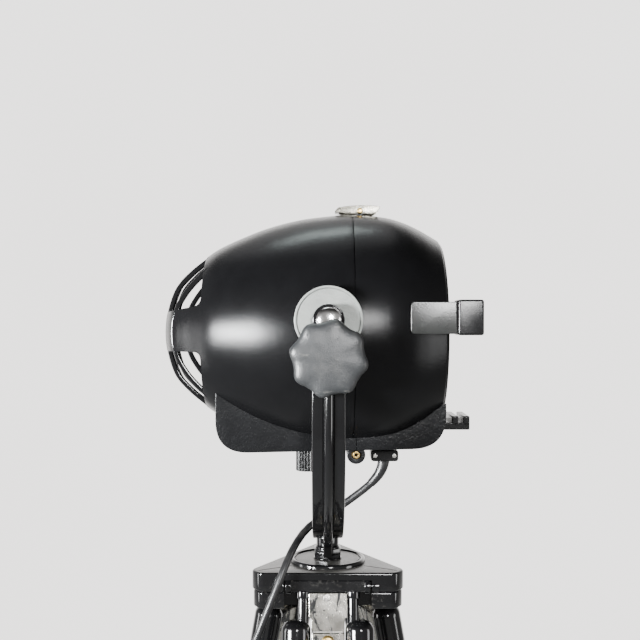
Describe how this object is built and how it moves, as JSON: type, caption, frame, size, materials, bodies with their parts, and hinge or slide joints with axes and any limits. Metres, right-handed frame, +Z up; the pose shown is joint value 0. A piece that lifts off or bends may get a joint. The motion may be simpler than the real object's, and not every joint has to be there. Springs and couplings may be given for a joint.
{
  "type": "tripod floor lamp",
  "caption": "Floor lamp made of an egg-shaped theatre spotlight in a tilting yoke on a black tripod with folding, extending legs.",
  "frame": {"origin": "on the floor, in the middle of the lamp's box without its cord", "axes": "+Z up, +X the way the beam leaves, -Y towards the front leg"},
  "size_m": [0.4978, 0.4412, 1.4335],
  "materials": {
    "housing_black": "satin black, fine grain",
    "base_black": "coarse matt black",
    "gloss_black": "gloss black with chips",
    "knob_grey": "matt dark grey, scratched",
    "disc_grey": "light grey, satin",
    "worn_steel": "worn nickel over steel",
    "brass": "aged brass",
    "lens_glass": "clear, stepped",
    "bulb_glass": "clear glass",
    "bright_metal": "polished",
    "ceramic": "white ceramic",
    "cord_rubber": "matt black",
    "leg_tube": "drawn tube, satin",
    "foot_rubber": "matt black"
  },
  "bodies": {
    "tripod_head": {"tripod_head": "gloss_black", "turntable_disc": "gloss_black", "cord_drop": "cord_rubber", "cord_coil": "cord_rubber", "plug": "cord_rubber"},
    "yoke": {"yoke": "gloss_black", "yoke_spigot": "gloss_black", "yoke_nut": "gloss_black"},
    "front_housing": {"front_shell": "housing_black", "front_base_box": "base_black", "fresnel_lens": "lens_glass", "lens_ring": "worn_steel", "side_runner_near": "housing_black", "side_runner_far": "housing_black", "bottom_runner": "base_black", "cord_clamp": "base_black", "friction_disc_near": "disc_grey", "friction_disc_far": "disc_grey", "pivot_bolt_near": "bright_metal", "pivot_bolt_far": "bright_metal", "door_hinge_pin": "brass", "catch_pin": "brass", "cord_upper": "cord_rubber"},
    "rear_housing": {"rear_shell": "housing_black", "rear_base_box": "base_black"},
    "lamp_tray": {"lamp_tray": "worn_steel", "lampholder": "ceramic", "bulb": "bulb_glass", "reflector": "bright_metal"},
    "focus_knob": {"focus_knob": "base_black"},
    "catch": {"catch_lever": "worn_steel"},
    "tilt_knob_near": {"tilt_knob_near": "knob_grey"},
    "tilt_knob_far": {"tilt_knob_far": "knob_grey"},
    "leg_front": {"leg_hanger_front": "gloss_black", "leg_rail_front_a": "gloss_black", "leg_rail_front_b": "gloss_black", "leg_plate_front": "worn_steel", "leg_stay_front": "worn_steel", "leg_bracket_front": "gloss_black"},
    "lower_leg_front": {"lower_leg_front": "leg_tube", "foot_front": "foot_rubber"},
    "leg_knob_front": {"leg_knob_front": "base_black"},
    "leg_right": {"leg_hanger_right": "gloss_black", "leg_rail_right_a": "gloss_black", "leg_rail_right_b": "gloss_black", "leg_plate_right": "worn_steel", "leg_stay_right": "worn_steel", "leg_bracket_right": "gloss_black"},
    "lower_leg_right": {"lower_leg_right": "leg_tube", "foot_right": "foot_rubber"},
    "leg_knob_right": {"leg_knob_right": "base_black"},
    "leg_left": {"leg_hanger_left": "gloss_black", "leg_rail_left_a": "gloss_black", "leg_rail_left_b": "gloss_black", "leg_plate_left": "worn_steel", "leg_stay_left": "worn_steel", "leg_bracket_left": "gloss_black"},
    "lower_leg_left": {"lower_leg_left": "leg_tube", "foot_left": "foot_rubber"},
    "leg_knob_left": {"leg_knob_left": "base_black"}
  },
  "joints": [
    {"name": "pan", "type": "hinge", "parent": "tripod_head", "child": "yoke", "pos_m": [0, 0.05326, 1.048], "axis": [0, 0, 1], "range_deg": [-90, 90], "deforming": ["cord_drop"]},
    {"name": "tilt", "type": "hinge", "parent": "yoke", "child": "front_housing", "pos_m": [0, 0.05326, 1.31], "axis": [0, 1, 0], "range_deg": [-45, 60], "deforming": ["cord_upper"]},
    {"name": "rear_door", "type": "hinge", "parent": "front_housing", "child": "rear_housing", "pos_m": [0.0288, 0.05326, 1.172], "axis": [0, -1, 0], "range_deg": [0, 45]},
    {"name": "lamp_focus", "type": "slide", "parent": "rear_housing", "child": "lamp_tray", "axis": [1, 0, 0], "range_m": [-0.022, 0.022]},
    {"name": "focus_knob_turn", "type": "hinge", "parent": "lamp_tray", "child": "focus_knob", "pos_m": [-0.021, 0.05326, 1.16], "axis": [0, 0, 1], "range_deg": [-90, 90]},
    {"name": "catch_lift", "type": "hinge", "parent": "front_housing", "child": "catch", "pos_m": [0.0347, 0.05326, 1.4276], "axis": [0, 1, 0], "range_deg": [0, 8], "stiffness_Nm_per_rad": 0.5, "springref_deg": -11.46},
    {"name": "tilt_knob_near_turn", "type": "hinge", "parent": "yoke", "child": "tilt_knob_near", "pos_m": [0, -0.09674, 1.2745], "axis": [0, 1, 0], "range_deg": [-180, 180]},
    {"name": "tilt_knob_far_turn", "type": "hinge", "parent": "yoke", "child": "tilt_knob_far", "pos_m": [0, 0.20326, 1.2745], "axis": [0, 1, 0], "range_deg": [-180, 180]},
    {"name": "leg_front_fold", "type": "hinge", "parent": "tripod_head", "child": "leg_front", "pos_m": [0, 0.00726, 1.033], "axis": [1, 0, 0], "range_deg": [0, 10]},
    {"name": "leg_right_fold", "type": "hinge", "parent": "tripod_head", "child": "leg_right", "pos_m": [0.03984, 0.07626, 1.033], "axis": [-0.5, 0.866, 0], "range_deg": [0, 10]},
    {"name": "leg_left_fold", "type": "hinge", "parent": "tripod_head", "child": "leg_left", "pos_m": [-0.03984, 0.07626, 1.033], "axis": [-0.5, -0.866, 0], "range_deg": [0, 10]},
    {"name": "leg_front_extend", "type": "slide", "parent": "leg_front", "child": "lower_leg_front", "axis": [0, -0.1994, -0.9799], "range_m": [0, 0.3]},
    {"name": "leg_right_extend", "type": "slide", "parent": "leg_right", "child": "lower_leg_right", "axis": [0.1727, 0.0997, -0.9799], "range_m": [0, 0.3]},
    {"name": "leg_left_extend", "type": "slide", "parent": "leg_left", "child": "lower_leg_left", "axis": [-0.1727, 0.0997, -0.9799], "range_m": [0, 0.3]},
    {"name": "leg_front_knob_turn", "type": "hinge", "parent": "leg_front", "child": "leg_knob_front", "pos_m": [0, -0.13717, 0.47356], "axis": [0, -0.9799, 0.1994], "range_deg": [-90, 90]},
    {"name": "leg_right_knob_turn", "type": "hinge", "parent": "leg_right", "child": "leg_knob_right", "pos_m": [0.16492, 0.14848, 0.47356], "axis": [0.8486, 0.49, 0.1994], "range_deg": [-90, 90]},
    {"name": "leg_left_knob_turn", "type": "hinge", "parent": "leg_left", "child": "leg_knob_left", "pos_m": [-0.16492, 0.14848, 0.47356], "axis": [-0.8486, 0.49, 0.1994], "range_deg": [-90, 90]}
  ]
}
